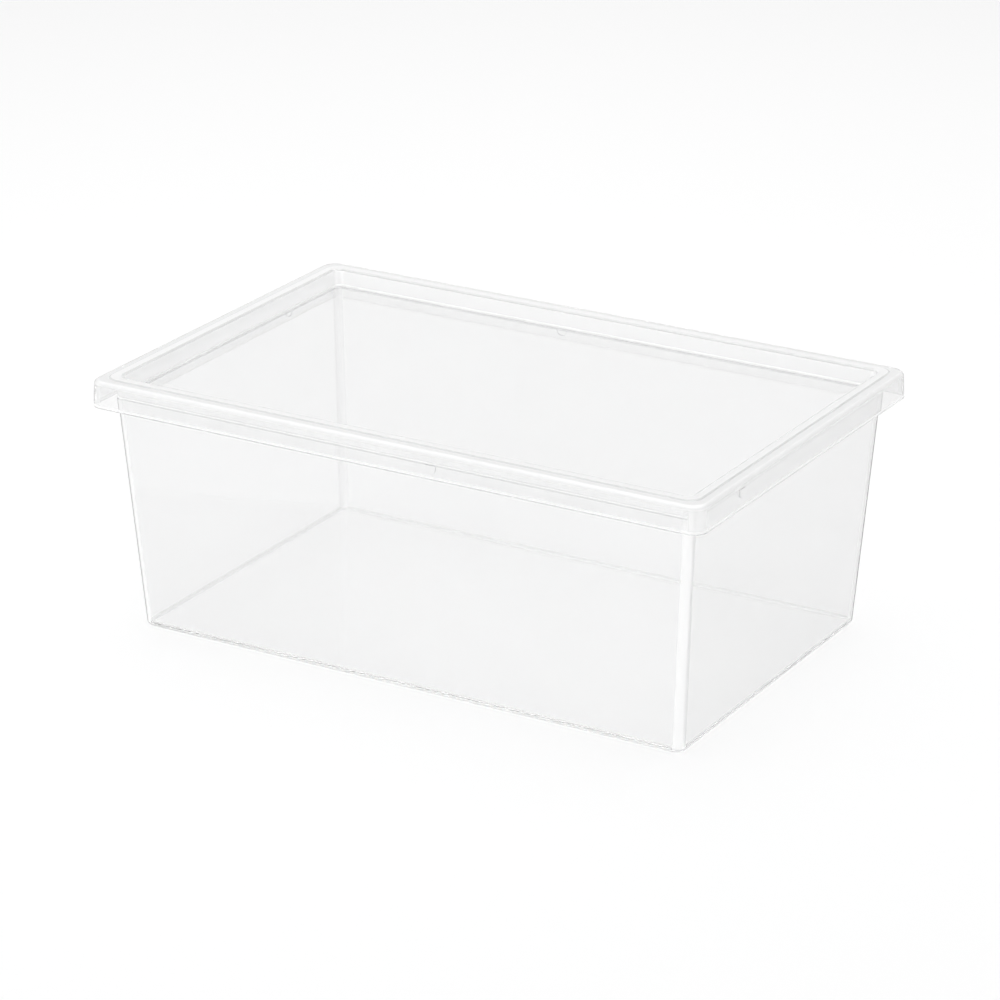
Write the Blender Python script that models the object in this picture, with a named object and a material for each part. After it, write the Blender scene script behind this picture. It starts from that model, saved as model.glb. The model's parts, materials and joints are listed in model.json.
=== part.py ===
"""Clear stackable shoe box: a drafted tub and a lift-off lid with a stacking recess.

Both pieces are single injection mouldings, so each is one wall section carried
round a rounded rectangle. Metres, +Z up, origin at the centre of the tub's
underside, the long side along X.
"""
import math

import bmesh
import bpy
from mathutils import Vector

# Overall size, measured over the lid.
BOX_LENGTH = 0.340
BOX_WIDTH = 0.220
BOX_HEIGHT = 0.1335

# Lid. An inset is a distance inwards, in plan, from the skirt's lower edge.
SKIRT_HEIGHT = 0.0145
SKIRT_FLARE = 0.0006
SKIRT_WALL = 0.0016
RIM_INNER_INSET = 0.0112
RIM_STEP_INSET = 0.0062
RIM_STEP_HEIGHT = 0.0006
RECESS_DEPTH = 0.0080
RECESS_INSET = 0.0136
PANEL_THICKNESS = 0.0014
CHANNEL_INSET = 0.0092
LOCATING_RIB_DEPTH = 0.0020
LOCATING_RIB_WIDTH = 0.0015
MOULD_DRAFT = 0.0002
LID_PLAN_RADIUS = 0.0070
RECESS_PLAN_RADIUS = 0.0042

# Tub.
TUB_WALL = 0.0020
TUB_TOP_INSET = 0.0092
TUB_BASE_INSET = 0.0172
TUB_PLAN_RADIUS = 0.0045
BASE_EDGE_RADIUS = 0.0025
FLOOR_FILLET = 0.0018
TOP_EDGE_RADIUS = 0.0005

# Half-round lugs moulded under the tub's top edge, one on each wall.
LUG_WIDTH = 0.0056
LUG_HEIGHT = 0.0046
LUG_PROUD = 0.0006
LUG_DROP = 0.0008
LONG_WALL_LUG_OFFSET = 0.022
SHORT_WALL_LUG_OFFSET = 0.054

# Clearances.
SEAT_GAP = 0.0003
RIB_TO_WALL_GAP = 0.0005

# Facets.
CORNER_STEPS = 6
FILLET_STEPS = 3
LUG_STEPS = 12
SMOOTH_ANGLE = math.radians(35)

# Heights that follow from the dimensions above.
LID_TOP = BOX_HEIGHT
SKIRT_BOTTOM = LID_TOP - SKIRT_HEIGHT
PANEL_TOP = LID_TOP - RECESS_DEPTH
PANEL_UNDERSIDE = PANEL_TOP - PANEL_THICKNESS
TUB_TOP = PANEL_UNDERSIDE - SEAT_GAP


def clear_scene():
    for old in list(bpy.data.objects):
        bpy.data.objects.remove(old, do_unlink=True)


def clear_plastic(name, colour, roughness, alpha):
    """A transparent, colourless moulded plastic."""
    material = bpy.data.materials.new(name)
    material.use_nodes = True
    shader = material.node_tree.nodes["Principled BSDF"]
    shader.inputs["Base Color"].default_value = (*colour, 1.0)
    shader.inputs["Roughness"].default_value = roughness
    shader.inputs["Metallic"].default_value = 0.0
    shader.inputs["IOR"].default_value = 1.5
    shader.inputs["Alpha"].default_value = alpha
    return material


def rounded_section(corners):
    """A wall section as (inset, height, plan radius) points.

    Each corner is (inset, height, plan radius, edge radius). Inner corners are
    replaced by an arc of their edge radius; the plan radius is blended along it.
    """
    points = [corners[0][:3]]
    for before, corner, after in zip(corners, corners[1:], corners[2:]):
        edge_radius = corner[3]
        at = Vector(corner[:2])
        to_before = (Vector(before[:2]) - at).normalized()
        to_after = (Vector(after[:2]) - at).normalized()
        half_angle = to_before.angle(to_after) / 2
        if edge_radius == 0 or half_angle > math.radians(89):
            points.append(corner[:3])
            continue
        cut_back = edge_radius / math.tan(half_angle)
        centre = at + (to_before + to_after).normalized() * edge_radius / math.sin(half_angle)
        start = at + to_before * cut_back - centre
        end = at + to_after * cut_back - centre
        sweep = start.angle(end)
        for step in range(FILLET_STEPS + 1):
            share = step / FILLET_STEPS
            along = (start * math.sin((1 - share) * sweep) + end * math.sin(share * sweep)) / math.sin(sweep)
            place = centre + along
            points.append((place.x, place.y, corner[2]))
    points.append(corners[-1][:3])
    return points


def rounded_rectangle(mesh, inset, height, plan_radius):
    """A closed loop of vertices, counter-clockwise from above."""
    half_length = BOX_LENGTH / 2 - inset
    half_width = BOX_WIDTH / 2 - inset
    loop = []
    for quarter, (side_x, side_y) in enumerate(((1, 1), (-1, 1), (-1, -1), (1, -1))):
        centre_x = side_x * (half_length - plan_radius)
        centre_y = side_y * (half_width - plan_radius)
        for step in range(CORNER_STEPS + 1):
            angle = (quarter + step / CORNER_STEPS) * math.pi / 2
            x = centre_x + plan_radius * math.cos(angle)
            y = centre_y + plan_radius * math.sin(angle)
            loop.append(mesh.verts.new((x, y, height)))
    return loop


def moulded_shell(name, section, material):
    """Carry a wall section round the box and close it with a flat face at each end."""
    mesh = bmesh.new()
    loops = [rounded_rectangle(mesh, *point) for point in section]
    for lower, upper in zip(loops, loops[1:]):
        for here in range(len(lower)):
            after = (here + 1) % len(lower)
            mesh.faces.new((lower[here], lower[after], upper[after], upper[here]))
    mesh.faces.new(loops[0])
    mesh.faces.new(loops[-1])
    bmesh.ops.recalc_face_normals(mesh, faces=mesh.faces)
    data = bpy.data.meshes.new(name)
    mesh.to_mesh(data)
    mesh.free()
    data.shade_smooth()
    data.set_sharp_from_angle(angle=SMOOTH_ANGLE)
    data.materials.append(material)
    shell = bpy.data.objects.new(name, data)
    bpy.context.collection.objects.link(shell)
    return shell


def wall_inset(height):
    """Inset of the tub's outer wall face, which leans in towards the base."""
    return TUB_BASE_INSET + (TUB_TOP_INSET - TUB_BASE_INSET) * height / TUB_TOP


def tub_section():
    inner_radius = TUB_PLAN_RADIUS - TUB_WALL
    return rounded_section((
        (TUB_BASE_INSET + 2 * BASE_EDGE_RADIUS, 0, TUB_PLAN_RADIUS, 0),
        (TUB_BASE_INSET, 0, TUB_PLAN_RADIUS, BASE_EDGE_RADIUS),
        (TUB_TOP_INSET, TUB_TOP, TUB_PLAN_RADIUS, TOP_EDGE_RADIUS),
        (TUB_TOP_INSET + TUB_WALL, TUB_TOP, inner_radius, TOP_EDGE_RADIUS),
        (wall_inset(TUB_WALL) + TUB_WALL, TUB_WALL, inner_radius, FLOOR_FILLET),
        (TUB_BASE_INSET + 3 * TUB_WALL, TUB_WALL, inner_radius, 0),
    ))


def lid_section():
    rib_outer_inset = TUB_TOP_INSET + TUB_WALL + RIB_TO_WALL_GAP
    rib_inner_inset = rib_outer_inset + LOCATING_RIB_WIDTH
    rib_bottom = PANEL_UNDERSIDE - LOCATING_RIB_DEPTH
    channel_top = LID_TOP - RIM_STEP_HEIGHT - SKIRT_WALL
    land_height = LID_TOP - RIM_STEP_HEIGHT
    edge = LID_PLAN_RADIUS
    inner = LID_PLAN_RADIUS - SKIRT_WALL
    recess = RECESS_PLAN_RADIUS
    return rounded_section((
        (rib_inner_inset + 2 * LOCATING_RIB_WIDTH, PANEL_UNDERSIDE, recess, 0),
        (rib_inner_inset + MOULD_DRAFT, PANEL_UNDERSIDE, recess, 0.0004),
        (rib_inner_inset - MOULD_DRAFT, rib_bottom, recess, 0.0004),
        (rib_outer_inset + MOULD_DRAFT, rib_bottom, recess, 0.0004),
        (rib_outer_inset, PANEL_UNDERSIDE, recess, 0),
        (CHANNEL_INSET + MOULD_DRAFT, PANEL_UNDERSIDE, inner, 0.0004),
        (CHANNEL_INSET, channel_top, inner, 0.0008),
        (SKIRT_FLARE + SKIRT_WALL, channel_top, inner, 0.0012),
        (SKIRT_WALL, SKIRT_BOTTOM, inner, 0.0003),
        (0, SKIRT_BOTTOM, edge, 0.0003),
        (SKIRT_FLARE, land_height, edge, 0.0020),
        (RIM_STEP_INSET - RIM_STEP_HEIGHT, land_height, edge, 0.0006),
        (RIM_STEP_INSET, LID_TOP, edge, 0.0006),
        (RIM_INNER_INSET, LID_TOP, recess, 0.0013),
        (RECESS_INSET, PANEL_TOP, recess, 0.0008),
        (RECESS_INSET + 2 * PANEL_THICKNESS, PANEL_TOP, recess, 0),
    ))


def lug(mesh, centre, outward):
    """A half-round boss that grows out of a wall, as one closed body."""
    sideways = Vector((-outward.y, outward.x, 0))
    half_width = LUG_WIDTH / 2
    round_centre = LUG_HEIGHT - half_width
    outline = [(half_width, 0)]
    for step in range(LUG_STEPS + 1):
        angle = -math.pi * step / LUG_STEPS
        outline.append((half_width * math.cos(angle), half_width * math.sin(angle) - round_centre))
    outline.append((-half_width, 0))
    faces = []
    for depth in (-TUB_WALL / 2, LUG_PROUD):
        shift = centre + outward * depth
        faces.append([mesh.verts.new(shift + sideways * x + Vector((0, 0, z))) for x, z in outline])
    back, front = faces
    mesh.faces.new(back)
    mesh.faces.new(front)
    for here in range(len(back)):
        after = (here + 1) % len(back)
        mesh.faces.new((back[here], back[after], front[after], front[here]))


def add_lugs(tub):
    mesh = bmesh.new()
    height = TUB_TOP - LUG_DROP
    reach_x = BOX_LENGTH / 2 - wall_inset(height)
    reach_y = BOX_WIDTH / 2 - wall_inset(height)
    for side in (1, -1):
        front = Vector((side * LONG_WALL_LUG_OFFSET, -side * reach_y, height))
        end = Vector((side * reach_x, -side * SHORT_WALL_LUG_OFFSET, height))
        lug(mesh, front, Vector((0, -side, 0)))
        lug(mesh, end, Vector((side, 0, 0)))
    bmesh.ops.recalc_face_normals(mesh, faces=mesh.faces)
    data = bpy.data.meshes.new("lug_shapes")
    mesh.to_mesh(data)
    mesh.free()
    shapes = bpy.data.objects.new("lug_shapes", data)
    bpy.context.collection.objects.link(shapes)
    shapes.hide_render = True
    shapes.display_type = "WIRE"
    join = tub.modifiers.new("Lugs", "BOOLEAN")
    join.operation = "UNION"
    join.object = shapes


def main():
    clear_scene()
    tub_plastic = clear_plastic("tub_plastic", (0.955, 0.965, 0.970), 0.06, 0.25)
    lid_plastic = clear_plastic("lid_plastic", (0.950, 0.960, 0.968), 0.08, 0.30)
    tub = moulded_shell("tub", tub_section(), tub_plastic)
    add_lugs(tub)
    moulded_shell("lid", lid_section(), lid_plastic)


main()
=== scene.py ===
"""Looks for the clear shoe box: two finely moulded shells of clear plastic on a pale studio floor.

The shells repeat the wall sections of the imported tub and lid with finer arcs,
and ride on the same bodies. Metres, +Z up, the long side along X.
"""

import json
import math

import bmesh
import bpy
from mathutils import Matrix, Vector


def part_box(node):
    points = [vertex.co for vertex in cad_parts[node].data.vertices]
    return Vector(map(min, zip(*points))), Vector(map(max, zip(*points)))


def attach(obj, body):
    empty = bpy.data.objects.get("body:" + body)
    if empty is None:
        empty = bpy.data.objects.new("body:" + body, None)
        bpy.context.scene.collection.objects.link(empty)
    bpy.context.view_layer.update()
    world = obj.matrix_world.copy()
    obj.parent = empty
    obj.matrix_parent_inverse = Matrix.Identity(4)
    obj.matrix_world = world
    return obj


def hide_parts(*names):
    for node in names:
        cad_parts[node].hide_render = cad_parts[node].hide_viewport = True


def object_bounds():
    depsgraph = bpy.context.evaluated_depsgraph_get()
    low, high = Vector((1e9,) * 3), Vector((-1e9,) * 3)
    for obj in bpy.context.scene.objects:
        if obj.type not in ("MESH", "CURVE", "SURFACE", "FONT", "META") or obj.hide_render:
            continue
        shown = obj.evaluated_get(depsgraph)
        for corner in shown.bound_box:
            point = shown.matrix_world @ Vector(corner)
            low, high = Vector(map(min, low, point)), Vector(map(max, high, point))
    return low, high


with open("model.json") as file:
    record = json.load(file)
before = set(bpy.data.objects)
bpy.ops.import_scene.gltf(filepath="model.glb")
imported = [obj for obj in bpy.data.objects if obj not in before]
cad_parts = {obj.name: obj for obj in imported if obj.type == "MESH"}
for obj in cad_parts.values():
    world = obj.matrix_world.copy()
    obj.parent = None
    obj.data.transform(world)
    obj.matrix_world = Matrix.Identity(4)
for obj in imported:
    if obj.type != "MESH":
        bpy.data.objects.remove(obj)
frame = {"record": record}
cad_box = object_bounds()

# Outer sizes and heights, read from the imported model.
tub_low, tub_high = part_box("tub")
lid_low, lid_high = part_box("lid")
mounts = {mount["name"]: mount for mount in frame["record"]["mounts"]}
HALF_LENGTH = lid_high.x
HALF_WIDTH = lid_high.y
LID_TOP = lid_high.z
SKIRT_BOTTOM = lid_low.z
SKIRT_HEIGHT = LID_TOP - SKIRT_BOTTOM
PANEL_TOP = mounts["stack_seat"]["pos_m"][2]
TUB_TOP = tub_high.z
PANEL_CLEARANCE = 0.0003
PANEL_UNDERSIDE = TUB_TOP + PANEL_CLEARANCE

# Lid section. An inset is a distance inwards, in plan, from the skirt's lower edge.
SKIRT_FLARE = 0.0006
SKIRT_WALL = 0.0016
SKIRT_LIP_RADIUS = 0.0007
LIP_HEIGHT = 0.0020
UNDERLIP_HEIGHT = 0.0009
RIM_EDGE_RADIUS = 0.0020
RIM_EDGE_WIDTH = 0.0024
BRIM_RADIUS = 0.0013
RIM_INNER_INSET = 0.0112
RIM_STEP_INSET = 0.0062
RIM_STEP_HEIGHT = 0.0006
STEP_ROUNDING = 0.0003
STEP_FILLET = 0.0006
RECESS_INSET = 0.0136
RECESS_FOOT_RADIUS = 0.0008
PANEL_MARGIN = 0.0028
CHANNEL_INSET = 0.0092
CHANNEL_INNER_FILLET = 0.0008
CHANNEL_OUTER_FILLET = 0.0012
LOCATING_RIB_DEPTH = 0.0020
LOCATING_RIB_WIDTH = 0.0015
RIB_FILLET = 0.0004
RIB_TO_WALL_GAP = 0.0005
MOULD_DRAFT = 0.0002
LID_PLAN_RADIUS = 0.0070
RECESS_PLAN_RADIUS = 0.0042

# Tub section.
TUB_WALL = 0.0020
TUB_TOP_INSET = 0.0092
TUB_BASE_INSET = 0.0172
TUB_PLAN_RADIUS = 0.0045
BASE_EDGE_RADIUS = 0.0025
FLOOR_FILLET = 0.0018
TOP_EDGE_RADIUS = 0.0005
UNDERRIM_DEPTH = 0.0013

# Lugs under the tub's top edge.
LUG_WIDTH = 0.0056
LUG_HEIGHT = 0.0046
LUG_PROUD = 0.0006
LUG_DROP = 0.0008
LUG_EDGE_RADIUS = 0.0003
LUG_ROOT_DEPTH = TUB_WALL / 2
LONG_WALL_LUG_OFFSET = 0.022
SHORT_WALL_LUG_OFFSET = 0.054

# Facets of the visible shells.
CORNER_STEPS = 20
SIDE_STEPS = 10
FILLET_STEPS = 6
LUG_STEPS = 24
LUG_EDGE_STEPS = 4
SMOOTH_ANGLE = math.radians(32)
STRAIGHT_ON = math.radians(89)

# Where one look ends and the next begins, beyond the sizes above.
BRIM_START = RIM_INNER_INSET - 0.7 * BRIM_RADIUS
BRIM_BOTTOM = LID_TOP - 0.9 * BRIM_RADIUS
CHANNEL_MARGIN = 0.0010
LUG_SIDE_START = LUG_PROUD / 3
LUG_FRONT_START = LUG_PROUD - LUG_EDGE_RADIUS / 20

# Looks of the zones: tint, haze and, where there is one, the shade towards which the tint goes
# at a slant, with the slants between which it does so. The real box is one plastic all over.
# These values were set by comparing renders with the photograph zone by zone, and aren't measured: the
# darker tints are painted shade, standing in for the dark lines that refraction draws at thick and rounded
# places, and the hazier zones are painted highlights, standing in for light gathering there.
TUB_LOOKS = {
    # The slant shade is painted shade on walls seen at a slant.
    "wall": (0.956, 0.030, 0.30, 0.54),
    # Haze paints a pale highlight down each corner; the slant shade paints the dark outlines.
    "corner": (0.988, 0.72, 0.20, 0.50, 0.78),
    # Haze paints a pale highlight along the top edge.
    "rim": (0.985, 0.75),
    # Dark tint: a painted shade line under the top edge.
    "underrim": (0.68, 0.10),
    # A darker tint: painted shade along the foot.
    "foot": (0.86, 0.40),
    "floor": (0.975, 0.05),
    # Dark tint: painted shade on the lugs' sides.
    "lug": (0.74, 0.20),
}
LID_LOOKS = {
    # Grey tint, partly painted shade, over the panel.
    "panel": (0.922, 0.025),
    # Haze pales the foot of the recess: painted light.
    "foot": (0.985, 0.45),
    # Haze lightens the recess walls: painted light.
    "recess": (0.968, 0.30),
    # Dark tint: a painted shade line along the rim's inner edge.
    "brim": (0.720, 0.10),
    # Strong haze with a lighter tint: painted light on the raised crown.
    "crown": (0.790, 0.80),
    # Dark tint under haze: a painted shade line at the step.
    "step": (0.70, 0.60),
    # Grey tint under a strong haze: painted light and shade on the land.
    "land": (0.720, 0.80),
    # Haze paints a white highlight on the rounded outer edge; the slant shade paints it darker on the far
    # sides.
    "edge": (0.900, 0.70, 0.60, 0.55, 0.90),
    # Haze paints a pale band of light on the channel, seen through the skirt.
    "channel": (0.980, 0.60),
    # Grey tint and slant shade: painted shade on the skirt.
    "skirt": (0.936, 0.14, 0.35, 0.54),
    # Haze and slant shade: painted light and shade at the skirt's rounded ends.
    "skirt_corner": (0.955, 0.40, 0.30, 0.50, 0.85),
    # Haze paints a white highlight along the lip.
    "lip": (0.988, 0.85),
    # Dark tint: a painted shade line under the lip.
    "underlip": (0.87, 0.10),
}
PLASTIC_IOR = 1.5
TINT_LOW = (-0.008, -0.007, -0.006)
TINT_HIGH = (0.008, 0.009, 0.010)
GLOSS_NOISE = (0.35, 0.75)
GLOSS_ROUGHNESS = (0.02, 0.06)
FLOW_WAVE_HEIGHT = 0.000008
THROUGH_FACE_ON = 0.997
THROUGH_EDGE_ON = 0.90

# Studio. Brightness was set against the photograph too.
FLOOR_RADIUS = 12.0
FLOOR_SIDES = 64
FLOOR_GAP = 0.0004
FLOOR_PAINT = 0.62
FLOOR_GLOW = 0.315
# Name, place, target, width, height, radiance.
SOFTBOXES = (
    ("top_softbox", (-0.2, 0.3, 2.0), (0, 0.1, 0), 2.2, 2.0, 2.15),
    ("back_softbox", (-1.2, 2.1, 0.95), (0, 0, 0.1), 3.0, 1.2, 0.32),
    ("left_softbox", (-1.7, -0.9, 0.9), (0, 0, 0.06), 0.7, 1.3, 1.2),
    ("front_softbox", (-0.2, -2.6, 0.8), (0, 0, 0.08), 1.6, 0.8, 3.2),
    ("right_softbox", (2.4, -0.3, 0.9), (0, 0, 0.06), 0.9, 1.2, 2.8),
)
# Height above the horizon and level, for the surroundings on the left and on the right.
LEFT_SKY = ((0.0, 0.9), (0.10, 0.85), (0.24, 0.75), (0.6, 0.55), (1.0, 0.4))
RIGHT_SKY = ((0.0, 0.9), (0.10, 0.80), (0.24, 0.46), (0.7, 0.38), (1.0, 0.4))
SKY_BLEND = (-0.3, 0.6)
SKY_STRENGTH = 0.95
LIGHT_BOUNCES = 64
GLOSSY_BOUNCES = 48

# Camera, fitted to the box's edges in the photograph.
CAMERA_PLACE = (0.966, -1.637, 0.812)
CAMERA_LENS = 147.8
SENSOR_WIDTH = 36.0
CAMERA_REACH = 100.0


# ---------------------------------------------------------------- wall sections

def rounded_section(corners):
    """A wall section as (inset, height, plan radius) points, its inner corners turned into arcs.

    Each corner is (inset, height, plan radius, edge radius).
    """
    points = [corners[0][:3]]
    for before, corner, after in zip(corners, corners[1:], corners[2:]):
        edge_radius = corner[3]
        at = Vector(corner[:2])
        to_before = (Vector(before[:2]) - at).normalized()
        to_after = (Vector(after[:2]) - at).normalized()
        half_angle = to_before.angle(to_after) / 2
        if edge_radius == 0 or half_angle > STRAIGHT_ON:
            points.append(corner[:3])
            continue
        cut_back = edge_radius / math.tan(half_angle)
        centre = at + (to_before + to_after).normalized() * edge_radius / math.sin(half_angle)
        start = at + to_before * cut_back - centre
        end = at + to_after * cut_back - centre
        sweep = start.angle(end)
        for step in range(FILLET_STEPS + 1):
            share = step / FILLET_STEPS
            along = (start * math.sin((1 - share) * sweep) + end * math.sin(share * sweep)) / math.sin(sweep)
            place = centre + along
            points.append((place.x, place.y, corner[2]))
    points.append(corners[-1][:3])
    return points


def wall_inset(height):
    """Inset of the tub's outer wall face, which leans in towards the base."""
    return TUB_BASE_INSET + (TUB_TOP_INSET - TUB_BASE_INSET) * height / TUB_TOP


def tub_section():
    """From the underside round the outer wall and top edge to the floor's upper face."""
    inner_radius = TUB_PLAN_RADIUS - TUB_WALL
    return rounded_section((
        (TUB_BASE_INSET + 2 * BASE_EDGE_RADIUS, 0, TUB_PLAN_RADIUS, 0),
        (TUB_BASE_INSET, 0, TUB_PLAN_RADIUS, BASE_EDGE_RADIUS),
        (wall_inset(TUB_TOP - UNDERRIM_DEPTH), TUB_TOP - UNDERRIM_DEPTH, TUB_PLAN_RADIUS, 0),
        (TUB_TOP_INSET, TUB_TOP, TUB_PLAN_RADIUS, TOP_EDGE_RADIUS),
        (TUB_TOP_INSET + TUB_WALL, TUB_TOP, inner_radius, TOP_EDGE_RADIUS),
        (wall_inset(TUB_WALL) + TUB_WALL, TUB_WALL, inner_radius, FLOOR_FILLET),
        (TUB_BASE_INSET + 3 * TUB_WALL, TUB_WALL, inner_radius, 0),
    ))


def lid_section():
    """From the panel's underside out over rib, channel and skirt, and back over the rim to its top."""
    rib_outer_inset = TUB_TOP_INSET + TUB_WALL + RIB_TO_WALL_GAP
    rib_inner_inset = rib_outer_inset + LOCATING_RIB_WIDTH
    rib_bottom = PANEL_UNDERSIDE - LOCATING_RIB_DEPTH
    channel_top = LID_TOP - RIM_STEP_HEIGHT - SKIRT_WALL
    land_height = LID_TOP - RIM_STEP_HEIGHT
    edge = LID_PLAN_RADIUS
    inner = LID_PLAN_RADIUS - SKIRT_WALL
    recess = RECESS_PLAN_RADIUS
    return rounded_section((
        (rib_inner_inset + 2 * LOCATING_RIB_WIDTH, PANEL_UNDERSIDE, recess, 0),
        (rib_inner_inset + MOULD_DRAFT, PANEL_UNDERSIDE, recess, RIB_FILLET),
        (rib_inner_inset - MOULD_DRAFT, rib_bottom, recess, RIB_FILLET),
        (rib_outer_inset + MOULD_DRAFT, rib_bottom, recess, RIB_FILLET),
        (rib_outer_inset, PANEL_UNDERSIDE, recess, 0),
        (CHANNEL_INSET + MOULD_DRAFT, PANEL_UNDERSIDE, inner, RIB_FILLET),
        (CHANNEL_INSET, channel_top, inner, CHANNEL_INNER_FILLET),
        (SKIRT_FLARE + SKIRT_WALL, channel_top, inner, CHANNEL_OUTER_FILLET),
        (SKIRT_WALL, SKIRT_BOTTOM, inner, SKIRT_LIP_RADIUS),
        (0, SKIRT_BOTTOM, edge, SKIRT_LIP_RADIUS),
        (SKIRT_FLARE * UNDERLIP_HEIGHT / SKIRT_HEIGHT, SKIRT_BOTTOM + UNDERLIP_HEIGHT, edge, 0),
        (SKIRT_FLARE * LIP_HEIGHT / SKIRT_HEIGHT, SKIRT_BOTTOM + LIP_HEIGHT, edge, 0),
        (SKIRT_FLARE, land_height, edge, RIM_EDGE_RADIUS),
        (SKIRT_FLARE + RIM_EDGE_WIDTH, land_height, edge, 0),
        (RIM_STEP_INSET - RIM_STEP_HEIGHT, land_height, edge, STEP_FILLET),
        (RIM_STEP_INSET, LID_TOP, edge, STEP_FILLET),
        (RIM_INNER_INSET, LID_TOP, recess, BRIM_RADIUS),
        (RECESS_INSET, PANEL_TOP, recess, RECESS_FOOT_RADIUS),
        (RECESS_INSET + PANEL_MARGIN, PANEL_TOP, recess, 0),
    ))


# ---------------------------------------------------------------- shells

def rounded_rectangle(mesh, inset, height, plan_radius):
    """A closed loop of vertices, counter-clockwise from above, with points along its sides too."""
    half_length = HALF_LENGTH - inset
    half_width = HALF_WIDTH - inset
    corners = []
    for quarter, (side_x, side_y) in enumerate(((1, 1), (-1, 1), (-1, -1), (1, -1))):
        centre = Vector((side_x * (half_length - plan_radius), side_y * (half_width - plan_radius), height))
        arc = []
        for step in range(CORNER_STEPS + 1):
            angle = (quarter + step / CORNER_STEPS) * math.pi / 2
            arc.append(centre + plan_radius * Vector((math.cos(angle), math.sin(angle), 0)))
        corners.append(arc)
    loop = []
    for arc, next_arc in zip(corners, corners[1:] + corners[:1]):
        loop += arc
        loop += [arc[-1].lerp(next_arc[0], step / SIDE_STEPS) for step in range(1, SIDE_STEPS)]
    return [mesh.verts.new(place) for place in loop]


def mesh_object(name, mesh):
    """An object made from a bmesh, which is then freed."""
    data = bpy.data.meshes.new(name)
    mesh.to_mesh(data)
    mesh.free()
    made = bpy.data.objects.new(name, data)
    bpy.context.scene.collection.objects.link(made)
    return made


def moulded_shell(name, section):
    """Carry a wall section round the box and close it with a flat face at each end."""
    mesh = bmesh.new()
    loops = [rounded_rectangle(mesh, *point) for point in section]
    for lower, upper in zip(loops, loops[1:]):
        for here in range(len(lower)):
            after = (here + 1) % len(lower)
            mesh.faces.new((lower[here], lower[after], upper[after], upper[here]))
    mesh.faces.new(loops[0])
    mesh.faces.new(loops[-1])
    bmesh.ops.recalc_face_normals(mesh, faces=mesh.faces)
    return mesh_object(name, mesh)


def lug(mesh, centre, outward):
    """A half-round boss with a softened front edge that grows out of a wall, as one closed body."""
    sideways = Vector((-outward.y, outward.x, 0))
    half_width = LUG_WIDTH / 2
    round_centre = LUG_HEIGHT - half_width
    layers = [(-LUG_ROOT_DEPTH, 0)]
    for step in range(LUG_EDGE_STEPS + 1):
        turn = step / LUG_EDGE_STEPS * math.pi / 2
        depth = LUG_PROUD - LUG_EDGE_RADIUS * (1 - math.sin(turn))
        layers.append((depth, LUG_EDGE_RADIUS * (1 - math.cos(turn))))
    rings = []
    for depth, shrink in layers:
        radius = half_width - shrink
        outline = [(radius, -shrink)]
        for step in range(LUG_STEPS + 1):
            angle = -math.pi * step / LUG_STEPS
            outline.append((radius * math.cos(angle), radius * math.sin(angle) - round_centre))
        outline.append((-radius, -shrink))
        shift = centre + outward * depth
        rings.append([mesh.verts.new(shift + sideways * x + Vector((0, 0, z))) for x, z in outline])
    mesh.faces.new(rings[0])
    mesh.faces.new(rings[-1])
    for back, front in zip(rings, rings[1:]):
        for here in range(len(back)):
            after = (here + 1) % len(back)
            mesh.faces.new((back[here], back[after], front[after], front[here]))


def lug_shapes():
    """The four lugs, one on each wall, each the same as another after half a turn about +Z."""
    mesh = bmesh.new()
    height = TUB_TOP - LUG_DROP
    reach_x = HALF_LENGTH - wall_inset(height)
    reach_y = HALF_WIDTH - wall_inset(height)
    for side in (1, -1):
        lug(mesh, Vector((side * LONG_WALL_LUG_OFFSET, -side * reach_y, height)), Vector((0, -side, 0)))
        lug(mesh, Vector((side * reach_x, -side * SHORT_WALL_LUG_OFFSET, height)), Vector((side, 0, 0)))
    bmesh.ops.recalc_face_normals(mesh, faces=mesh.faces)
    return mesh_object("lug_shapes", mesh)


def joined_with(shell, addition):
    """Fuse another closed body into the shell, leaving one closed mesh."""
    union = shell.modifiers.new("Union", "BOOLEAN")
    union.operation = "UNION"
    union.object = addition
    bpy.context.view_layer.update()
    evaluated = shell.evaluated_get(bpy.context.evaluated_depsgraph_get())
    fused = bpy.data.meshes.new_from_object(evaluated)
    shell.modifiers.remove(union)
    shell.data = fused
    bpy.data.objects.remove(addition)


def smooth(shell):
    """Round faces shade smooth, flat ones stay flat."""
    shell.data.shade_smooth()
    shell.data.set_sharp_from_angle(angle=SMOOTH_ANGLE)
    weighted = shell.modifiers.new("Flat faces first", "WEIGHTED_NORMAL")
    weighted.mode = "FACE_AREA"
    weighted.weight = 100
    weighted.keep_sharp = True


# ---------------------------------------------------------------- materials

def grey(level):
    return (level, level, level, 1.0)


def noise(material, scale, detail, distortion=0.0):
    """Noise laid out in the object's own space."""
    nodes = material.node_tree.nodes
    links = material.node_tree.links
    place = nodes.new("ShaderNodeTexCoord")
    texture = nodes.new("ShaderNodeTexNoise")
    texture.inputs["Scale"].default_value = scale
    texture.inputs["Detail"].default_value = detail
    texture.inputs["Distortion"].default_value = distortion
    links.new(place.outputs["Object"], texture.inputs["Vector"])
    return texture.outputs["Fac"]


def remapped(tree, value, span, result=(0.0, 1.0)):
    """A value carried from one span to another, and held at the ends."""
    remap = tree.nodes.new("ShaderNodeMapRange")
    remap.inputs["From Min"].default_value = span[0]
    remap.inputs["From Max"].default_value = span[1]
    remap.inputs["To Min"].default_value = result[0]
    remap.inputs["To Max"].default_value = result[1]
    tree.links.new(value, remap.inputs["Value"])
    return remap.outputs["Result"]


def facing(material, blend):
    """How far the surface is turned away from the ray that meets it."""
    weight = material.node_tree.nodes.new("ShaderNodeLayerWeight")
    weight.inputs["Blend"].default_value = blend
    return weight.outputs["Facing"]


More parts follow.
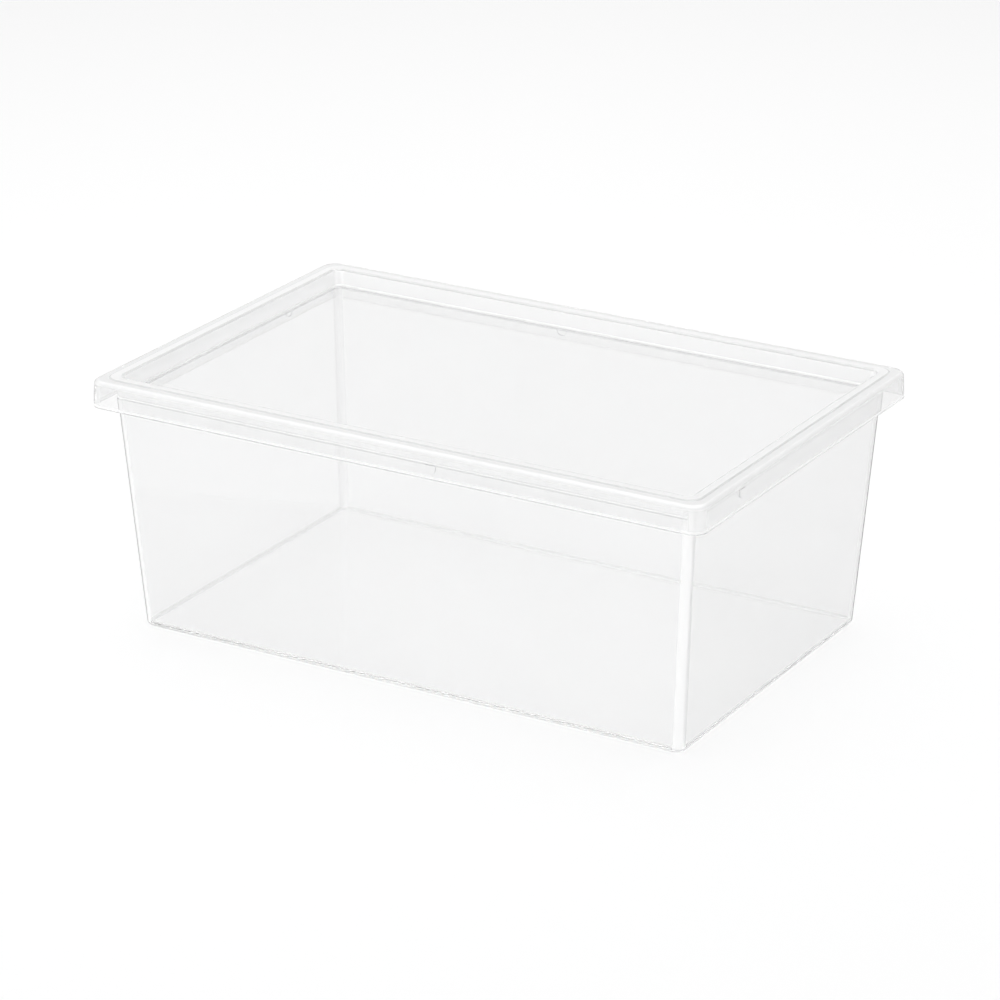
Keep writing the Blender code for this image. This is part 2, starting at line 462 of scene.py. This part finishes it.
def body_colour_and_slant_shade(material, tint_and_shade, edge_shade, edge_from, edge_to):
    """A slightly cloudy tint, which paints the zone's shade, darker at a slant, where the way through the
    wall is longer.

    The darkening is partly that longer way and partly painted shade: it is stronger than the longer way
    alone gives, and stands in for the dark edges that clear plastic gets from refraction.
    """
    nodes = material.node_tree.nodes
    links = material.node_tree.links
    body = nodes.new("ShaderNodeMix")
    body.data_type = "RGBA"
    body.inputs["A"].default_value = [tint_and_shade + shift for shift in TINT_LOW] + [1.0]
    body.inputs["B"].default_value = [tint_and_shade + shift for shift in TINT_HIGH] + [1.0]
    links.new(noise(material, 14.0, 3.0), body.inputs["Factor"])
    shaded = nodes.new("ShaderNodeMix")
    shaded.data_type = "RGBA"
    shaded.blend_type = "MULTIPLY"
    shaded.inputs["B"].default_value = grey(edge_shade)
    slant = remapped(material.node_tree, facing(material, 0.5), (edge_from, edge_to))
    links.new(slant, shaded.inputs["Factor"])
    links.new(body.outputs["Result"], shaded.inputs["A"])
    return shaded.outputs["Result"]


def flow_waves(material):
    """The faint waves that the plastic's flow leaves in a moulded face."""
    nodes = material.node_tree.nodes
    waves = nodes.new("ShaderNodeBump")
    waves.inputs["Strength"].default_value = 1.0
    waves.inputs["Distance"].default_value = FLOW_WAVE_HEIGHT
    material.node_tree.links.new(noise(material, 28.0, 1.0, 0.4), waves.inputs["Height"])
    return waves.outputs["Normal"]


def pass_light_straight(material):
    """Let lamp and bounce light straight through the thin walls, less so where met edge on."""
    nodes = material.node_tree.nodes
    links = material.node_tree.links
    passed = nodes.new("ShaderNodeMix")
    passed.data_type = "RGBA"
    passed.inputs["A"].default_value = grey(THROUGH_FACE_ON)
    passed.inputs["B"].default_value = grey(THROUGH_EDGE_ON)
    links.new(facing(material, 0.3), passed.inputs["Factor"])
    straight = nodes.new("ShaderNodeBsdfTransparent")
    links.new(passed.outputs["Result"], straight.inputs["Color"])
    path = nodes.new("ShaderNodeLightPath")
    either = nodes.new("ShaderNodeMath")
    either.operation = "MAXIMUM"
    links.new(path.outputs["Is Shadow Ray"], either.inputs[0])
    links.new(path.outputs["Is Diffuse Ray"], either.inputs[1])
    choice = nodes.new("ShaderNodeMixShader")
    links.new(either.outputs["Value"], choice.inputs["Fac"])
    links.new(nodes["Principled BSDF"].outputs["BSDF"], choice.inputs[1])
    links.new(straight.outputs["BSDF"], choice.inputs[2])
    links.new(choice.outputs["Shader"], nodes["Material Output"].inputs["Surface"])


def clear_plastic(name, tint_and_shade, haze_and_highlight, edge_shade=1.0, edge_from=0.45, edge_to=1.0):
    """Clear moulded plastic: a cloudy tint that paints the zone's shade, a haze that paints its highlights,
    painted shade at a slant, hairline wear in the gloss and faint flow marks.
    """
    material = bpy.data.materials.new(name)
    material.use_nodes = True
    links = material.node_tree.links
    shader = material.node_tree.nodes["Principled BSDF"]
    shader.inputs["Metallic"].default_value = 0.0
    shader.inputs["IOR"].default_value = PLASTIC_IOR
    shader.inputs["Transmission Weight"].default_value = 1.0 - haze_and_highlight
    links.new(body_colour_and_slant_shade(material, tint_and_shade, edge_shade, edge_from, edge_to), shader.inputs["Base Color"])
    gloss = remapped(material.node_tree, noise(material, 420.0, 6.0), GLOSS_NOISE, GLOSS_ROUGHNESS)
    links.new(gloss, shader.inputs["Roughness"])
    links.new(flow_waves(material), shader.inputs["Normal"])
    pass_light_straight(material)
    return material


def studio_floor_paint():
    """A pale sheet that glows a little by itself, so that it stays pale far from the softboxes."""
    material = bpy.data.materials.new("studio_floor")
    material.use_nodes = True
    material.cycles.emission_sampling = "NONE"
    shader = material.node_tree.nodes["Principled BSDF"]
    shader.inputs["Base Color"].default_value = grey(FLOOR_PAINT)
    shader.inputs["Roughness"].default_value = 0.7
    shader.inputs["Specular IOR Level"].default_value = 0.1
    shader.inputs["Emission Color"].default_value = grey(1.0)
    shader.inputs["Emission Strength"].default_value = FLOOR_GLOW
    return material


# ---------------------------------------------------------------- studio

def studio_floor():
    mesh = bmesh.new()
    bmesh.ops.create_circle(mesh, cap_ends=True, segments=FLOOR_SIDES, radius=FLOOR_RADIUS)
    floor = mesh_object("studio_floor", mesh)
    floor.location.z = -FLOOR_GAP
    floor.data.materials.append(studio_floor_paint())


def soft_light(name, place, target, width, height, radiance):
    """A rectangular softbox of an even radiance."""
    data = bpy.data.lights.new(name, "AREA")
    data.shape = "RECTANGLE"
    data.size = width
    data.size_y = height
    data.energy = radiance * width * height * math.pi
    lamp = bpy.data.objects.new(name, data)
    lamp.location = place
    lamp.rotation_euler = (Vector(target) - Vector(place)).to_track_quat("-Z", "Y").to_euler()
    bpy.context.scene.collection.objects.link(lamp)


def studio_world():
    """Pale at the horizon all round; above it bright on the left and dim on the right."""
    world = bpy.data.worlds.new("studio_world")
    bpy.context.scene.world = world
    world.use_nodes = True
    nodes = world.node_tree.nodes
    links = world.node_tree.links
    place = nodes.new("ShaderNodeTexCoord")
    split = nodes.new("ShaderNodeSeparateXYZ")
    links.new(place.outputs["Generated"], split.inputs["Vector"])
    skies = []
    for levels in (LEFT_SKY, RIGHT_SKY):
        ramp = nodes.new("ShaderNodeValToRGB")
        stops = ramp.color_ramp.elements
        for position, level in levels[1:-1]:
            stops.new(position)
        for stop, (position, level) in zip(stops, levels):
            stop.position = position
            stop.color = grey(level)
        links.new(split.outputs["Z"], ramp.inputs["Fac"])
        skies.append(ramp)
    rightward = remapped(world.node_tree, split.outputs["X"], SKY_BLEND)
    sky = nodes.new("ShaderNodeMix")
    sky.data_type = "RGBA"
    links.new(rightward, sky.inputs["Factor"])
    links.new(skies[0].outputs["Color"], sky.inputs["A"])
    links.new(skies[1].outputs["Color"], sky.inputs["B"])
    links.new(sky.outputs["Result"], nodes["Background"].inputs["Color"])
    nodes["Background"].inputs["Strength"].default_value = SKY_STRENGTH


def camera():
    data = bpy.data.cameras.new("camera")
    data.lens = CAMERA_LENS
    data.sensor_width = SENSOR_WIDTH
    data.clip_end = CAMERA_REACH
    viewpoint = bpy.data.objects.new("camera", data)
    centre = (cad_box[0] + cad_box[1]) / 2
    viewpoint.location = CAMERA_PLACE
    viewpoint.rotation_euler = (centre - Vector(CAMERA_PLACE)).to_track_quat("-Z", "Y").to_euler()
    bpy.context.scene.collection.objects.link(viewpoint)
    bpy.context.scene.camera = viewpoint


# ---------------------------------------------------------------- zones

def paint(shell, looks, choose):
    """Give the shell its looks, and each face the one that choose(face centre) names."""
    names = list(looks)
    for look in looks.values():
        shell.data.materials.append(look)
    for face in shell.data.polygons:
        face.material_index = names.index(choose(face.center))


def within(at, inset, plan_radius=LID_PLAN_RADIUS):
    """Whether a place lies inside the rounded outline at an inset, in plan, from the skirt's lower edge."""
    from_end = HALF_LENGTH - inset - abs(at.x)
    from_side = HALF_WIDTH - inset - abs(at.y)
    if min(from_end, from_side) <= 0:
        return False
    if max(from_end, from_side) >= plan_radius:
        return True
    return math.hypot(plan_radius - from_end, plan_radius - from_side) < plan_radius


def tub_zone(at):
    """The flat floor, the top edge and the band under it, the foot, a lug's sides, a corner or a wall."""
    if within(at, TUB_BASE_INSET + BASE_EDGE_RADIUS + MOULD_DRAFT) and at.z < TUB_WALL + FLOOR_FILLET:
        return "floor"
    if at.z > TUB_TOP - TOP_EDGE_RADIUS:
        return "rim"
    if at.z > TUB_TOP - UNDERRIM_DEPTH:
        return "underrim"
    if at.z < BASE_EDGE_RADIUS:
        return "foot"
    proud = max(abs(at.x) - HALF_LENGTH, abs(at.y) - HALF_WIDTH) + wall_inset(at.z)
    if LUG_SIDE_START < proud < LUG_FRONT_START:
        return "lug"
    reach = wall_inset(at.z) + TUB_PLAN_RADIUS
    in_corner = abs(at.x) > HALF_LENGTH - reach and abs(at.y) > HALF_WIDTH - reach
    return "corner" if in_corner else "wall"


def lid_zone(at):
    """The zones of the lid, from the sunken panel outwards over the rim and down the skirt."""
    underside = at.z < PANEL_TOP - MOULD_DRAFT and within(at, CHANNEL_INSET + MOULD_DRAFT)
    if underside or within(at, RECESS_INSET + RECESS_FOOT_RADIUS):
        return "panel"
    if within(at, BRIM_START):
        if at.z > BRIM_BOTTOM:
            return "brim"
        return "foot" if at.z < PANEL_TOP + RECESS_FOOT_RADIUS else "recess"
    if at.z < SKIRT_BOTTOM + UNDERLIP_HEIGHT:
        return "underlip"
    if at.z < SKIRT_BOTTOM + LIP_HEIGHT and not within(at, SKIRT_FLARE + SKIRT_WALL):
        return "lip"
    channel_top = LID_TOP - RIM_STEP_HEIGHT - SKIRT_WALL
    if within(at, SKIRT_FLARE + SKIRT_WALL + CHANNEL_MARGIN) and at.z < channel_top:
        return "channel"
    if within(at, RIM_STEP_INSET + STEP_ROUNDING):
        return "crown"
    if within(at, RIM_STEP_INSET - RIM_STEP_HEIGHT):
        return "step"
    if within(at, SKIRT_FLARE + RIM_EDGE_WIDTH):
        return "land"
    if at.z > LID_TOP - RIM_STEP_HEIGHT - RIM_EDGE_RADIUS:
        return "edge"
    in_corner = abs(at.x) > HALF_LENGTH - LID_PLAN_RADIUS and abs(at.y) > HALF_WIDTH - LID_PLAN_RADIUS
    return "skirt_corner" if in_corner else "skirt"


def main():
    tub_looks = {zone: clear_plastic(f"tub_{zone}_look", *look) for zone, look in TUB_LOOKS.items()}
    lid_looks = {zone: clear_plastic(f"lid_{zone}_look", *look) for zone, look in LID_LOOKS.items()}

    tub_shell = moulded_shell("tub_shell", tub_section())
    joined_with(tub_shell, lug_shapes())
    smooth(tub_shell)
    paint(tub_shell, tub_looks, tub_zone)
    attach(tub_shell, "tub")
    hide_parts("tub")

    lid_shell = moulded_shell("lid_shell", lid_section())
    smooth(lid_shell)
    paint(lid_shell, lid_looks, lid_zone)
    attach(lid_shell, "lid")
    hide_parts("lid")

    studio_floor()
    studio_world()
    for softbox in SOFTBOXES:
        soft_light(*softbox)
    camera()
    scene = bpy.context.scene
    scene.view_settings.view_transform = "Standard"
    scene.cycles.max_bounces = LIGHT_BOUNCES
    scene.cycles.transmission_bounces = LIGHT_BOUNCES
    scene.cycles.glossy_bounces = GLOSSY_BOUNCES
    scene.cycles.transparent_max_bounces = LIGHT_BOUNCES


main()
